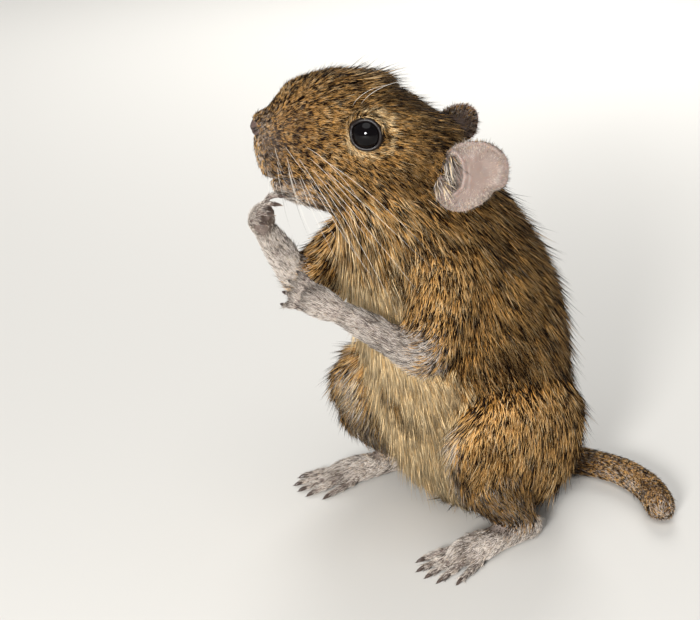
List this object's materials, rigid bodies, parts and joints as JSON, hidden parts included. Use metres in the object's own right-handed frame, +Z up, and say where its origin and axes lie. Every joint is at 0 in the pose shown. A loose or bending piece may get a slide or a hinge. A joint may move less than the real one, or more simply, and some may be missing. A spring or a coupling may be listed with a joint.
{
  "type": "degu",
  "caption": "Life-size still model of a degu sitting up on its haunches, forepaws raised to its mouth, head turned aside, blunt tail lying on the floor.",
  "frame": {"origin": "middle of the seat, on the floor", "axes": "the animal faces -X, its left side is towards -Y, +Z up"},
  "size_m": [0.103, 0.0791, 0.12],
  "materials": {
    "coat": "short agouti fur, ochre brown ticked with black",
    "paw": "thin silver-grey hair over grey skin",
    "ear": "thin bare skin with fine pale hairs",
    "eye": "glossy black",
    "tail": "finely ringed scales with short bristles"
  },
  "bodies": {
    "root": {"head": "coat", "neck": "coat", "torso": "coat", "upper_arm_left": "coat", "upper_arm_right": "coat", "thigh_left": "coat", "thigh_right": "coat", "shank_left": "coat", "shank_right": "coat", "forearm_left": "paw", "forearm_right": "paw", "forepaw_left": "paw", "forepaw_right": "paw", "hind_foot_left": "paw", "hind_foot_right": "paw", "ear_left": "ear", "ear_right": "ear", "eye_left": "eye", "eye_right": "eye", "tail": "tail"}
  },
  "joints": []
}
